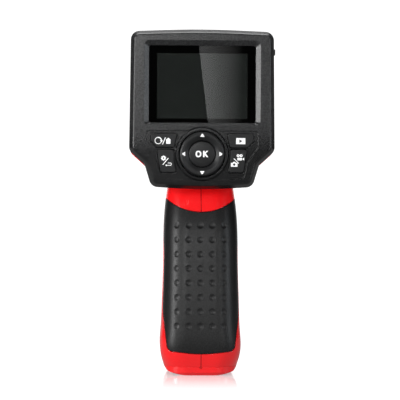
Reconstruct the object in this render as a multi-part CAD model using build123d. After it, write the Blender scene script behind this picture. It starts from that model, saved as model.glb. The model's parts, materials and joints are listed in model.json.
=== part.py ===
from build123d import *
import math
import os

# Hand-held display unit of an inspection camera: a screen and keypad head on a raked pistol grip.
# Millimetres. X is the user's right, Y runs forward from the user to the cable socket, Z is up.
# The origin is the middle of the foot's flat base. The screen faces -Y.

# ---------------------------------------------------------------- driving dimensions
FACE_Y = -24.0            # front of the bezel, towards the user
BEZEL_DEPTH = 9.0
RIM_Y = FACE_Y + BEZEL_DEPTH      # where the bezel meets the red shells
INNER_Y = FACE_Y + 2.7    # back of the bezel's front wall
BEZEL_WALL = 2.4
SHELL_WALL = 2.4
GRIP_SHELL = 4.4          # depth of the handle's inner face below its outer surface
RUBBER = 2.0              # thickness of the rubber sleeve
SEAM = 0.09               # half of the gap between the two shells
HEAD_FRONT_Y = 25.0
NECK_TOP_Z = 118.0        # the handle's upper end, inside the head
BASE_TOP_Z = 4.6          # joint line between the foot and the shells

# Half outlines from bottom centre to top centre: (x, z, corner radius)
BEZEL_HALF = [
    (0, 101.2, 250), (27.6, 102.9, 4.8), (31.2, 114.8, 4), (39.75, 122.6, 5),
    (39.0, 187.6, 4.8), (0, 189.1, 500),
]
SHELL_HALF = [
    (0, 101.6, 250), (27.0, 103.3, 4.6), (30.5, 113.7, 4), (39.4, 121.8, 5),
    (38.7, 187.2, 5.5), (0, 188.6, 500),
]
POCKET_HALF = [
    (0, 106.6, 200), (22.8, 107.2, 2.5), (24.2, 115.5, 6), (30.4, 124.4, 2.5),
    (30.4, 133.4, 1.2), (0, 133.4, 0),
]
# How far the head's outline has drawn in at each depth
HEAD_SECTIONS = [(-15, 0), (-8, 0), (0, 0.15), (8, 0.9), (15, 2.4), (21, 5.0), (25, 8.0)]

# Handle sections: (z, half width, rear y, front y)
HANDLE_SECTIONS = [
    (BASE_TOP_Z, 20.1, -21.5, 23.0), (9, 21.4, -23.0, 24.3), (15, 22.25, -24.0, 25.0),
    (24, 21.8, -23.8, 24.3), (40, 21.2, -22.3, 22.2), (62, 20.7, -19.5, 20.8),
    (80, 20.5, -16.3, 21.8), (92, 19.75, -12.4, 23.6), (103, 18.4, -8.6, 25.0),
    (NECK_TOP_Z, 17.9, -7.0, 24.5),
]
HANDLE_CORNER = 13.0

# Screen
LENS_Z = 158.8
LENS_OPENING = (58.1, 42.0)
BEVEL_Z = 159.45
BEVEL_OPENING = (63.4, 46.1)
LENS_SIZE = (61.0, 45.0)
LENS_BACK_Y = INNER_Y + 1.5
GASKET_BACK_Y = LENS_BACK_Y + 0.5
LIT_Z = 157.9
LIT_AREA = (49.4, 35.6)
LCD_Z = 158.4
LCD_SIZE = (60.3, 42.7)
LCD_BACK_Y = GASKET_BACK_Y + 2.7
BOARD_REAR_Y = -16.4      # the side that faces the user
BOARD_FRONT_Y = BOARD_REAR_Y + 1.6

# Keypad
PAD_Z = 120.8             # centre of the navigation pad
POCKET_DEPTH = 0.7
POCKET_Y = FACE_Y + POCKET_DEPTH
POCKET_BUMP_R = 14.8
RING_R = 12.1
RING_HOLE_R = 12.55
RING_BORE_R = 6.45
RING_CUP_R = 7.5          # the wider bore round the centre button's cap
OK_R = 6.15
OK_CAP_R = 7.1
KEY_TOP_Y = FACE_Y - 0.45
KEY_FLANGE_Y = (INNER_Y + 0.1, INNER_Y + 0.9)
DOME_Y = -18.9            # tops of the rubber domes under the keys
SHEET_Y = -17.2           # top of the rubber key sheet
DOME_R = 3.0
KEY_SHEET_HALF = [
    (0, 109.6, 0), (23.6, 109.6, 2), (25.2, 117, 5), (29.0, 123.5, 3), (29.0, 134.6, 2),
    (0, 134.6, 0),
]
TOP_KEY_MIDDLE = (20.4, 128.1)
LOW_KEY_MIDDLE = (19.0, 117.4)
PRESS_R = 9.9             # where the ring presses its four domes

# Nose and cable connector
NOSE_Z = 150.0
NOSE_END_Y = 50.0
THREAD_R = 7.46           # tapping-size bore of the M16 x 1 thread
THREAD_LENGTH = 8.0
SOCKET_R = 5.0
SOCKET_LENGTH = 10.0
INSULATOR_R = 4.6         # bore behind the socket that holds the contact block
BARREL_END_Y = 63.0
CONTACT_COUNT = 6

# Port flap on the right-hand side
FLAP_Y = (-11.3, 3.7)
FLAP_TOP_Z = 179.2
FLAP_X = (37.4, 39.15)
FLAP_HINGE_Z = 131.8
PORT_BOARD_Y = -2.0

# Trigger
TRIGGER_Z = (84.5, 105.5)

# Battery bay
CELL_R = 7.1
CELL_PITCH = 14.5
BAY_Y = 0.7               # middle of the four cells
CELL_Z = 8.7
CELL_LENGTH = 50.2
TRAY_INNER = 29.2
TRAY_OUTER = 30.8
HINGE_Y = 16.0
HINGE_Z = 2.3


# ---------------------------------------------------------------- helpers
def front_face(sketch, y):
    """Places a front-view sketch (X right, Z up) at depth y."""
    return Plane.XZ.offset(-y) * sketch


def slab(sketch, y_rear, y_front):
    """Extrudes a front-view sketch from depth y_rear to y_front."""
    return extrude(front_face(sketch, y_front), amount=y_front - y_rear)


def side_slab(sketch, x_low, x_high):
    """Extrudes a side-view sketch (Y right, Z up) from x_low to x_high."""
    return extrude(Plane.YZ.offset(x_low) * sketch, amount=x_high - x_low)


def block(x_range, y_range, z_range):
    """A box given by its limits."""
    size = [high - low for low, high in (x_range, y_range, z_range)]
    middle = [(high + low) / 2 for low, high in (x_range, y_range, z_range)]
    return Pos(*middle) * Box(*size)


def rod_x(radius, y, z, x_low, x_high):
    return Pos((x_low + x_high) / 2, y, z) * Rot(0, 90, 0) * Cylinder(radius, x_high - x_low)


def rod_y(radius, x, z, y_low, y_high):
    return Pos(x, (y_low + y_high) / 2, z) * Rot(90, 0, 0) * Cylinder(radius, y_high - y_low)


def rod_z(radius, x, y, z_low, z_high):
    return Pos(x, y, (z_low + z_high) / 2) * Cylinder(radius, z_high - z_low)


def turned(profile, x, z):
    """Revolves (y, radius) points about an axis along Y through (x, z)."""
    face = make_face(Polyline(*[(y, radius) for y, radius in profile], close=True))
    solid = revolve(Plane.YZ * face, Axis.Y)
    return Pos(x, 0, z) * solid


def mirrored_outline(half):
    """Completes a right-hand half outline given from bottom centre to top centre."""
    return half + [(-x, z, radius) for x, z, radius in reversed(half[1:-1])]


def outline(half, inset=0.0):
    """A closed front-view face with rounded corners, drawn in by inset."""
    points = mirrored_outline(half)
    corners = []
    radii = []
    for index, (x, z, radius) in enumerate(points):
        here = Vector(x, z)
        before = Vector(*points[index - 1][:2])
        after = Vector(*points[(index + 1) % len(points)][:2])
        arriving = (here - before).normalized()
        leaving = (after - here).normalized()
        inward = Vector(-arriving.Y - leaving.Y, arriving.X + leaving.X)
        scale = inset / (1 + arriving.dot(leaving))
        corners.append(here + inward * scale)
        turns_left = arriving.X * leaving.Y - arriving.Y * leaving.X > 0
        radii.append(max(radius - inset, 0.8) if turns_left and radius else radius)
    return make_face(FilletPolyline(*corners, radius=radii, close=True))


def plate(width, height, corner, x=0.0, z=0.0):
    """A rounded rectangle in the front view."""
    return Pos(x, z) * RectangleRounded(width, height, corner)


def both_sides(part):
    """The part and its mirror image across the middle plane."""
    return part + mirror(part, about=Plane.YZ)


def head_body(inset, front_y):
    """The red head's solid form, drawn in by inset and closed at front_y."""
    scale = (front_y - RIM_Y) / (HEAD_FRONT_Y - RIM_Y)
    sections = []
    for y, narrowing in HEAD_SECTIONS:
        depth = RIM_Y + (y - RIM_Y) * scale
        sections.append(front_face(outline(SHELL_HALF, narrowing + inset), depth))
    return loft(sections)


def handle_body(inset):
    """The handle's solid form, drawn in by inset."""
    sections = []
    for z, half_width, rear, front in HANDLE_SECTIONS:
        width = 2 * (half_width - inset)
        depth = front - rear - 2 * inset
        shape = RectangleRounded(width, depth, HANDLE_CORNER - inset)
        sections.append(Plane.XY.offset(z) * Pos(0, (front + rear) / 2) * shape)
    return loft(sections)


def nose_body(inset, front_y):
    """The round nose with its flared root."""
    profile = [
        (8, 0), (8, 27.5), (20, 27.0), (24.5, 22.6), (29, 19.8), (34, 18.2),
        (NOSE_END_Y, 15.7), (NOSE_END_Y, 0),
    ]
    moved = [(min(y, front_y), max(radius - inset, 0)) for y, radius in profile]
    return turned(moved, 0, NOSE_Z)


def grip_region(grow):
    """The space that the rubber sleeve takes, as seen from behind and from the side."""
    top = ThreePointArc((-24, 101.8 + grow), (0, 89 + grow), (24, 101.8 + grow))
    right = [(24, 101.8 + grow), (24, 58), (20.6 + grow, 33), (18.1 + grow, 13.6 - grow)]
    left = [(-x, z) for x, z in reversed(right)]
    rest = FilletPolyline(*right, (0, 11.8 - grow), *left, radius=[6, 20, 3.4, 60, 3.4, 20, 6])
    seen_from_rear = make_face([top, rest])
    side_points = [
        (-45, -5), (-45, 120), (13 + grow, 120), (11 + grow, 98), (2 + grow, 82),
        (-8.5 + grow, 70), (-15 + grow, 20), (-20 + grow, -5),
    ]
    seen_from_side = make_face(
        FilletPolyline(*side_points, radius=[1, 1, 1, 12, 12, 12, 10, 1], close=True)
    )
    return slab(seen_from_rear, -40, 40) & side_slab(seen_from_side, -30, 30)


# ---------------------------------------------------------------- shells and grip
def shell_screw_places():
    """(y, z, seat of the screw head along X) of the screws that join the shells."""
    return [(13, 176, 12), (14, 121, 12), (8, 112, 9), (8, 72, 8)]


def full_housing():
    """The red housing before it is split into two shells."""
    head = head_body(0, HEAD_FRONT_Y)
    outer = head + nose_body(0, NOSE_END_Y) + handle_body(0)
    head_room = head_body(SHELL_WALL, HEAD_FRONT_Y - SHELL_WALL)
    nose_room = nose_body(SHELL_WALL, NOSE_END_Y - 3)
    handle_room = handle_body(GRIP_SHELL)
    hollow = outer - head_room - nose_room - handle_room
    hollow -= slab(outline(SHELL_HALF, 1.25), RIM_Y - 1, RIM_Y + 3.0)
    hollow -= grip_region(0.35) - handle_body(RUBBER)

    # walls that carry the trigger bracket, the screws and the ports
    for y, z, seat in shell_screw_places():
        boss = rod_x(3.3, y, z, -40, 0) + rod_x(4.4, y, z, 0, 40)
        hollow += boss & outer
    rib = block((12.5, 18), (5.1, 6.8), (88, 102)) + block((12.5, 18), (1.2, 2.9), (88, 102))
    for x, y in base_screw_places():
        side = math.copysign(1, x)
        room = block(sorted((15.7 * side, 30 * side)), (y - 3, y + 3), (BASE_TOP_Z, 13))
        hollow += rod_z(2.2, x, y, BASE_TOP_Z, 12.5) & room & outer
    hollow += both_sides(rib) & handle_body(RUBBER + 0.4)
    hollow += block((34.5, 38.5), (-11.9, 5.5), (129, 181.6)) & head

    # openings
    hollow -= rod_y(9.5, 0, NOSE_Z, 40, 60)
    hollow -= nose_ring_space()
    hollow -= block((-6.9, 6.9), (14, 34), (TRIGGER_Z[0] - 0.4, TRIGGER_Z[1] + 0.4))
    hollow -= flap_space()
    hollow -= block((30, 40), (-6.4, -1.6), (167.7, 176.4))
    hollow -= block((30, 40), (-5.4, -1.6), (132.8, 160.2))
    hollow -= rod_x(3.4, -5, 164, 30, 40)
    for y, z, seat in shell_screw_places():
        hollow -= rod_x(2.9, y, z, seat, 45)
        hollow -= rod_x(1.6, y, z, 0, 20)
        hollow -= rod_x(1.42, y, z, -10, 1)
    for x, y in base_screw_places():
        hollow -= rod_z(0.82, x, y, 0, 11.5)
    return hollow


def flap_space():
    """The recess that the port flap closes, with room below for it to swing out."""
    recess = block((FLAP_X[0] - 0.1, 45), (FLAP_Y[0] - 0.25, FLAP_Y[1] + 0.25), (130.8, 179.5))
    ramp_points = [(37.3, 130.9), (45, 130.9), (45, 122), (39.9, 128), (37.5, 130.5)]
    ramp = slab(make_face(Polyline(*ramp_points, close=True)), FLAP_Y[0] - 0.25, FLAP_Y[1] + 0.25)
    return recess + ramp


def nose_ring_space():
    """The band that the nose's rubber ring fills."""
    return turned([(42, 14.9), (42, 25), (60, 25), (60, 13.9), (50, 13.9)], 0, NOSE_Z)


def build_shells():
    housing = full_housing()
    left = housing & block((-50, -SEAM), (-60, 70), (0, 200))
    right = housing & block((SEAM, 50), (-60, 70), (0, 200))
    return left, right


def build_grip():
    """The rubber sleeve over the back of the handle."""
    return (handle_body(0) - handle_body(RUBBER)) & grip_region(0)


# ---------------------------------------------------------------- bezel and screen
def key_outline(upper):
    """The right-hand upper or lower key in the front view."""
    if upper:
        points = [(9, 124.25), (24.6, 124.25), (28.0, 127.6), (28.0, 131.9), (9, 131.9)]
    else:
        points = [(9, 110.7), (22.4, 110.7), (24.5, 123.2), (9, 123.2)]
    shape = make_face(Polyline(*points, close=True))
    shape -= Pos(-16.6, 120.3) * Circle(32)
    return fillet(shape.vertices(), 1.1)


def pocket_outline():
    return outline(POCKET_HALF) + Pos(0, PAD_Z) * Circle(POCKET_BUMP_R)


def board_screw_places():
    return [(34.2, 176), (-34.2, 176), (14, 107.3), (-14, 107.3)]


def build_bezel():
    blank = slab(outline(BEZEL_HALF), FACE_Y, RIM_Y)
    front_edges = blank.faces().sort_by(Axis.Y)[0].edges()
    blank = chamfer(front_edges, length=4.2, length2=2.1)
    soft_edges = blank.faces().sort_by(Axis.Y)[0].edges()
    blank = fillet(soft_edges, 1.5)

    tongue = slab(outline(SHELL_HALF, 1.35), RIM_Y - 0.8, RIM_Y + 2.8)
    tongue -= slab(outline(SHELL_HALF, 2.45), RIM_Y - 1, RIM_Y + 3)
    bezel = blank + tongue
    bezel -= slab(outline(BEZEL_HALF, BEZEL_WALL + 0.2), INNER_Y, RIM_Y + 1)

    frame = plate(65.0, 48.6, 1.5, z=LENS_Z) - plate(61.3, 45.3, 0.6, z=LENS_Z)
    bezel += slab(frame, INNER_Y - 0.2, LENS_BACK_Y)
    for x, z in board_screw_places():
        bezel += rod_y(2.3, x, z, INNER_Y - 0.2, BOARD_REAR_Y)
        bezel -= rod_y(1.02, x, z, INNER_Y + 0.8, BOARD_REAR_Y + 1)

    bevel = loft([
        front_face(plate(*BEVEL_OPENING, 2.6, z=BEVEL_Z), FACE_Y),
        front_face(plate(*LENS_OPENING, 1.2, z=LENS_Z), FACE_Y + 1.8),
    ])
    bezel -= bevel
    bezel -= slab(plate(*LENS_OPENING, 1.2, z=LENS_Z), FACE_Y + 1.7, INNER_Y + 1)

    bezel -= slab(pocket_outline(), FACE_Y - 1, POCKET_Y)
    ridge = turned([
        (POCKET_Y + 0.2, 12.6), (FACE_Y + 0.1, 12.6), (FACE_Y - 0.2, 12.95),
        (FACE_Y - 0.2, 13.9), (POCKET_Y - 0.1, 14.6), (POCKET_Y + 0.2, 14.6),
    ], 0, PAD_Z)
    bezel += ridge
    bezel -= rod_y(RING_HOLE_R, 0, PAD_Z, FACE_Y - 2, INNER_Y + 1)
    for upper in (True, False):
        opening = slab(offset(key_outline(upper), 0.2), FACE_Y - 1, INNER_Y + 1)
        bezel -= both_sides(opening)
    return bezel


def build_screen():
    lens = slab(plate(*LENS_SIZE, 0.8, z=LENS_Z), INNER_Y, LENS_BACK_Y)
    lit = plate(*LIT_AREA, 0.6, z=LIT_Z)
    gasket = slab(plate(*LENS_SIZE, 0.8, z=LENS_Z) - lit, LENS_BACK_Y, GASKET_BACK_Y)
    lcd = slab(plate(*LCD_SIZE, 0.5, z=LCD_Z), GASKET_BACK_Y, LCD_BACK_Y)
    cradle = plate(63.4, 46.0, 0.8, z=LCD_Z) - plate(60.6, 43.0, 0.6, z=LCD_Z)
    frame = slab(cradle, GASKET_BACK_Y, BOARD_REAR_Y)
    frame -= block((-9, 9), (-18, -16), (179, 183))
    strip_x = (-8, 8)
    flex = block(strip_x, (-17.3, -17.05), (LCD_Z + LCD_SIZE[1] / 2, 183.0))
    flex += block(strip_x, (-17.3, -13.6), (182.75, 183.0))
    flex += block(strip_x, (-13.85, -13.6), (177.6, 183.0))
    return lens, gasket, lcd, frame, flex


# ---------------------------------------------------------------- boards
def dome_places():
    """(x, z) of the rubber domes: four keys, four ring directions and the centre."""
    keys = []
    for x, z in (TOP_KEY_MIDDLE, LOW_KEY_MIDDLE):
        keys += [(x, z), (-x, z)]
    ring = [(PRESS_R, PAD_Z), (-PRESS_R, PAD_Z), (0, PAD_Z + PRESS_R), (0, PAD_Z - PRESS_R)]
    return keys + ring + [(0, PAD_Z)]


def build_boards():
    board = slab(outline(BEZEL_HALF, 3.3), BOARD_REAR_Y, BOARD_FRONT_Y)
    board -= block((-9, 9), (-18, -14), (182.2, 183.6))
    for x, z in board_screw_places():
        board -= rod_y(1.2, x, z, -18, -13)

    front = BOARD_FRONT_Y
    chip_boxes = [
        ((-27, -15), (150, 162), 1.4),
        ((-12, -6), (163, 171), 1.2),
        ((-26, -19), (128, 135), 1.0),
        ((-4, 4), (134, 142), 1.2),
        ((-30, -27), (168, 174), 1.8),
    ]
    chips = []
    for x_range, z_range, height in chip_boxes:
        chips.append(block(x_range, (front, front + height), z_range))
    can = block((-22, -2), (front, front + 2.4), (109.5, 124))
    can = fillet(can.faces().sort_by(Axis.Y)[-1].edges(), 0.5)
    can -= block((-21.6, -2.4), (front - 1, front + 2.0), (109.9, 123.6))
    sockets = [
        block((-9, 9), (front, front + 1.4), (174.5, 177.6)),
        block((-14, -6), (front, front + 4.0), (143.5, 149.0)),
        block((0, 6), (front, front + 3.4), (126, 129.6)),
        block((14, 22), (front, PORT_BOARD_Y), (164, 167)),
    ]
    sockets[0] -= block((-8.1, 8.1), (front + 0.9, front + 1.2), (176, 178))
    pads = [rod_y(1.4, x, z, BOARD_REAR_Y - 0.1, BOARD_REAR_Y) for x, z in dome_places()]

    keymat = slab(outline(KEY_SHEET_HALF), SHEET_Y, BOARD_REAR_Y)
    dome = [
        (DOME_Y, 0), (DOME_Y, 2.1), (SHEET_Y, DOME_R),
        (SHEET_Y + 0.3, DOME_R), (SHEET_Y + 0.3, 0),
    ]
    for x, z in dome_places():
        keymat += turned(dome, x, z)
    for x, z in dome_places():
        keymat -= rod_y(1.6, x, z, DOME_Y + 0.7, BOARD_REAR_Y + 0.1)
    for x, z in board_screw_places():
        keymat -= rod_y(2.7, x, z, -20, -15)

    side_board = block((4, 34.2), (PORT_BOARD_Y, PORT_BOARD_Y + 1.6), (130.5, 179.5))
    spacers = []
    for z in (134.5, 170.0):
        side_board -= rod_y(1.1, 6.6, z, -4, 2)
        spacers.append(rod_y(2.2, 6.6, z, BOARD_FRONT_Y, PORT_BOARD_Y))
    usb = block((27.6, 36.7), (-5.9, PORT_BOARD_Y), (168.2, 175.9))
    usb -= block((29.5, 37), (-5.4, -2.5), (168.7, 175.4))
    usb += block((29.0, 35.6), (-4.4, -3.5), (169.6, 174.5))
    card = block((10, 36.6), (-5.0, PORT_BOARD_Y), (133.2, 160.0))
    card -= block((10.8, 37), (-4.6, -2.4), (134.6, 158.6))
    jack = block((22.0, 34.2), (-8.0, PORT_BOARD_Y), (161, 167)) + rod_x(3.0, -5, 164, 34, 37.0)
    jack -= rod_x(1.75, -5, 164, 25, 38)
    return {
        "main_board": board,
        "board_chips": Compound(children=chips),
        "shield_can": can,
        "board_connectors": Compound(children=sockets),
        "contact_pads": Compound(children=pads),
        "keymat": keymat,
        "port_board": side_board,
        "board_spacers": Compound(children=spacers),
        "usb_connector": usb,
        "card_slot": card,
        "av_jack": jack,
    }


# ---------------------------------------------------------------- keys
def build_key(upper):
    """The right-hand key of one row, with its retaining flange and plunger."""
    shape = key_outline(upper)
    cap = slab(shape, KEY_TOP_Y, KEY_FLANGE_Y[1])
    cap = fillet(cap.faces().sort_by(Axis.Y)[0].edges(), 0.45)
    limits = (123.95, 140) if upper else (100, 123.45)
    flange = slab(offset(shape, 0.8), *KEY_FLANGE_Y) & block((13.2, 40), (-30, 0), limits)
    x, z = TOP_KEY_MIDDLE if upper else LOW_KEY_MIDDLE
    return cap + flange + rod_y(1.9, x, z, KEY_FLANGE_Y[1] - 0.1, DOME_Y)


def build_ring():
    """The rocker ring: dished in the middle, with two side plungers and two pivot ridges."""
    profile = [
        (-20.0, RING_BORE_R), (-20.8, RING_BORE_R), (-20.8, RING_CUP_R), (-23.75, RING_CUP_R),
        (-24.15, 8.2), (-24.7, 9.2), (-24.95, 10.1), (-24.95, 11.2), (-24.5, 11.9),
        (-23.8, RING_R), (-20.5, RING_R), (-20.5, 13.2), (-20.0, 13.2),
    ]
    ring = turned(profile, 0, PAD_Z)
    plunger = block((PRESS_R - 1.1, PRESS_R + 1.1), (-20.2, DOME_Y), (PAD_Z - 2, PAD_Z + 2))
    ring += both_sides(plunger)
    for side in (-1, 1):
        middle = PAD_Z + side * 7.7
        ring += block((-0.3, 0.3), (-20.1, -19.65), (middle - 0.6, middle + 0.6))
    return ring


def build_carrier():
    """The rocker under the ring: it carries the ring's left and right tilt."""
    carrier = turned([(-19.6, 7.1), (-19.6, 8.5), (DOME_Y, 8.5), (DOME_Y, 7.1)], 0, PAD_Z)
    for side in (-1, 1):
        centre = PAD_Z + side * (PRESS_R - 0.3)
        carrier += block((-1.9, 1.9), (-19.6, DOME_Y), (centre - 1.6, centre + 1.6))
    return carrier


def build_ok():
    button = rod_y(OK_R, 0, PAD_Z, -22.7, DOME_Y)
    button += turned([
        (-22.6, 0), (-24.25, 0), (-24.2, 3.0), (-24.05, 5.2), (-23.8, 6.6), (-23.5, OK_CAP_R),
        (-22.6, OK_CAP_R),
    ], 0, PAD_Z)
    button += rod_y(6.75, 0, PAD_Z, -19.6, DOME_Y)
    return button


# ---------------------------------------------------------------- trigger
def build_trigger():
    low, high = TRIGGER_Z
    pad = make_face([
        Polyline((17, low + 0.4), (26.4, low + 0.4)),
        ThreePointArc((26.4, low + 0.4), (26.2, low + 9), (29.6, high - 0.4)),
        Polyline((29.6, high - 0.4), (17, high - 0.4), (17, low + 0.4)),
    ])
    finger = side_slab(pad, -6.5, 6.5)
    front_edges = [
        edge for edge in finger.edges() if edge.center().Y > 20 and abs(edge.center().X) > 6
    ]
    finger = fillet(front_edges, 1.6)
    flange = block((-8.6, 8.6), (15.0, 16.6), (low + 0.8, high - 0.8))
    neck = block((-6.5, 6.5), (16.0, 18.0), (low + 0.8, high - 0.8))
    stub = rod_y(2.0, 0, 95, 13.4, 15.1)
    trigger = finger + neck + flange + stub

    bracket = block((-14.0, 14.0), (3.0, 5.0), (88.4, 101.6))
    bracket += rod_y(2.0, 0, 95, 4.9, 7.0)
    spring_points = Helix(pitch=1.85, height=9.25, radius=2.7)
    wire = sweep(Plane(spring_points @ 0, z_dir=spring_points % 0) * Circle(0.3), path=spring_points)
    spring = Pos(0, 14.65, 95) * Rot(90, 0, 0) * wire
    switch = block((4.8, 10.6), (5.0, 11.4), (89, 101.5)) + rod_y(0.9, 7.7, 98, 11.3, 12.1)
    return trigger, bracket, spring, switch


# ---------------------------------------------------------------- foot and batteries
def base_screw_places():
    return [(16.9, -8.0), (-16.9, -8.0), (16.9, 9.5), (-16.9, 9.5)]


def crown():
    """The space above the foot's crowned underside, in the front view."""
    half = [(12.2, 0, 33), (18.2, 2.15, 1.5), (20.1, BASE_TOP_Z, 1), (30, 10, 1), (30, 12, 0.5)]
    corners = half + [(-x, z, radius) for x, z, radius in reversed(half)]
    points = [(x, z) for x, z, radius in corners]
    radii = [radius for x, z, radius in corners]
    return make_face(FilletPolyline(*points, radius=radii, close=True))


def build_foot():
    z, half_width, rear, front = HANDLE_SECTIONS[0]
    middle = (front + rear) / 2
    top = Pos(0, middle) * RectangleRounded(2 * half_width, front - rear, HANDLE_CORNER)
    foot = extrude(top, amount=z)
    foot = chamfer(foot.faces().sort_by(Axis.Z)[0].edges(), length=1.5, length2=1.2)
    foot &= slab(crown(), -60, 60)
    foot -= block((-14.9, 14.9), (-14.0, 19.0), (-1, 6))
    ears = both_sides(block((13.2, 15.2), (HINGE_Y - 1.4, 19.3), (0.9, HINGE_Z + 1.4)))
    foot += ears & slab(crown(), -60, 60)
    foot -= rod_x(0.77, HINGE_Y, HINGE_Z, -14.6, 14.6)
    foot -= rod_y(0.7, 0, BASE_TOP_Z - 0.2, -25, -20.2)
    for x, y in base_screw_places():
        foot -= rod_z(0.95, x, y, -1, 6)
        foot -= rod_z(1.5, x, y, -1, 3.3)

    door = block((-14.5, 14.5), (-13.7, HINGE_Y), (0, 3.5)) & slab(crown(), -60, 60)
    door -= block((-20, 20), (HINGE_Y - 1.9, 30), (-1, HINGE_Z))
    door -= both_sides(block((12.9, 20), (HINGE_Y - 2.2, 30), (-1, 6)))
    door += rod_x(1.5, HINGE_Y, HINGE_Z, -12.9, 12.9)
    door -= rod_x(0.81, HINGE_Y, HINGE_Z, -13, 13)
    door -= Pos(0, -13.9, 0.2) * Rot(0, 90, 0) * Cylinder(1.6, 12)
    pin = rod_x(0.75, HINGE_Y, HINGE_Z, -14.5, 14.5)
    return foot, door, pin


def cell_places():
    half = CELL_PITCH / 2
    return [(-half, BAY_Y - half), (half, BAY_Y - half), (half, BAY_Y + half), (-half, BAY_Y + half)]


def build_batteries():
    parts = {}
    for index, (x, y) in enumerate(cell_places()):
        nub_up = index % 2 == 0
        low = CELL_Z if nub_up else CELL_Z + 1.2
        cell = rod_z(CELL_R, x, y, low, low + CELL_LENGTH - 1.2)
        cell = fillet(cell.edges(), 0.4)
        nub_low = CELL_Z + CELL_LENGTH - 1.3 if nub_up else CELL_Z
        cell += rod_z(2.7, x, y, nub_low, nub_low + 1.3)
        parts[f"battery_cell_{index + 1}"] = cell

    tray_top = CELL_Z + CELL_LENGTH + 2.4
    outside = Pos(0, BAY_Y) * RectangleRounded(TRAY_OUTER, TRAY_OUTER, 7.9)
    inside = Pos(0, BAY_Y) * RectangleRounded(TRAY_INNER, TRAY_INNER, 7.1)
    tray = extrude(outside, amount=tray_top) - extrude(inside, amount=tray_top - 1.4)
    tray -= block((-20, 20), (-20, 20), (-1, BASE_TOP_Z))
    for x, y in cell_places():
        tray -= rod_z(2.0, x, y, 50, 70)
    parts["battery_tray"] = tray

    contact_low = CELL_Z + CELL_LENGTH
    strips = []
    for y in (BAY_Y - CELL_PITCH / 2, BAY_Y + CELL_PITCH / 2):
        strips.append(block((-12.5, 12.5), (y - 3.5, y + 3.5), (contact_low, contact_low + 0.6)))
    parts["tray_contacts"] = Compound(children=strips)

    door_strips = []
    springs = []
    for x in (-CELL_PITCH / 2, CELL_PITCH / 2):
        door_strips.append(block((x - 3.8, x + 3.8), (BAY_Y - 12.4, BAY_Y + 11), (3.5, 3.9)))
    for x, y in cell_places():
        coil = Helix(pitch=1.25, height=4.2, radius=2.9)
        wire = sweep(Plane(coil @ 0, z_dir=coil % 0) * Circle(0.3), path=coil)
        springs.append(Pos(x, y, 4.2) * wire)
    parts["door_contacts"] = Compound(children=door_strips)
    parts["door_springs"] = Compound(children=springs)
    for name, low_x, high_x, plug_x in (("red", -4, -2.5, 1.6), ("black", 4, 3.5, 4.4)):
        parts[f"battery_lead_{name}"] = lead([
            (low_x, -6, tray_top), (low_x, -6, 78), (high_x, -1, 96), (high_x, -1, 110),
            (plug_x, -5.5, 127.8), (plug_x, -11.4, 127.8),
        ], 4)
    return parts


def lead(points, radius, wire_r=0.7):
    path = FilletPolyline(*points, radius=radius)
    return sweep(Plane(path @ 0, z_dir=path % 0) * Circle(wire_r), path=path)


# ---------------------------------------------------------------- nose and connector
def build_nose_parts():
    thread_floor = BARREL_END_Y - THREAD_LENGTH
    socket_floor = thread_floor - SOCKET_LENGTH
    barrel = turned([
        (socket_floor - 5, 6.4), (38, 6.4), (38, 9.35), (50.8, 9.35), (50.8, 12.2), (52.6, 12.2),
        (53.0, 11.8), (53.0, 10.4), (BARREL_END_Y - 0.8, 10.4), (BARREL_END_Y, 9.6),
        (BARREL_END_Y, THREAD_R), (thread_floor, THREAD_R), (thread_floor, SOCKET_R),
        (socket_floor, SOCKET_R), (socket_floor, INSULATOR_R), (socket_floor - 5, INSULATOR_R),
    ], 0, NOSE_Z)
    barrel -= block((-0.9, 0.9), (socket_floor, thread_floor + 0.1), (NOSE_Z + 4, NOSE_Z + 6.2))
    insulator = rod_y(INSULATOR_R - 0.02, 0, NOSE_Z, socket_floor - 5, socket_floor)
    pins = []
    for index in range(CONTACT_COUNT):
        angle = math.radians(30 + 360 / CONTACT_COUNT * index)
        x = 3.0 * math.cos(angle)
        z = NOSE_Z + 3.0 * math.sin(angle)
        insulator -= rod_y(0.6, x, z, socket_floor - 6, socket_floor + 1)
        pin = rod_y(0.6, x, z, socket_floor - 7, socket_floor - 0.3)
        pins.append(pin - rod_y(0.35, x, z, socket_floor - 4, 60))
    nut = slab(Pos(0, NOSE_Z) * RegularPolygon(12.0, 6), 43.4, 47) - rod_y(9.37, 0, NOSE_Z, 43, 48)
    seal = rod_y(12.0, 0, NOSE_Z, 50, 50.8) - rod_y(9.6, 0, NOSE_Z, 49, 52)
    collar = turned([
        (42.1, 15.0), (42.1, 17.4), (43.4, 17.5), (43.7, 17.0), (44.5, 16.9), (44.8, 17.4),
        (46.0, 17.3), (46.3, 16.8), (47.1, 16.7), (47.4, 17.2), (50.2, 16.9), (51.0, 16.2),
        (51.0, 13.95), (50.0, 13.95),
    ], 0, NOSE_Z)
    cable = lead([(0, 39.9, NOSE_Z), (0, 20, NOSE_Z), (-10, 0, 146.2), (-10, -10.8, 146.2)], 9, 1.9)
    return {
        "connector_barrel": barrel,
        "connector_insulator": insulator,
        "connector_contacts": Compound(children=pins),
        "connector_nut": nut,
        "connector_seal": seal,
        "nose_collar": collar,
        "camera_lead": cable,
    }


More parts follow.
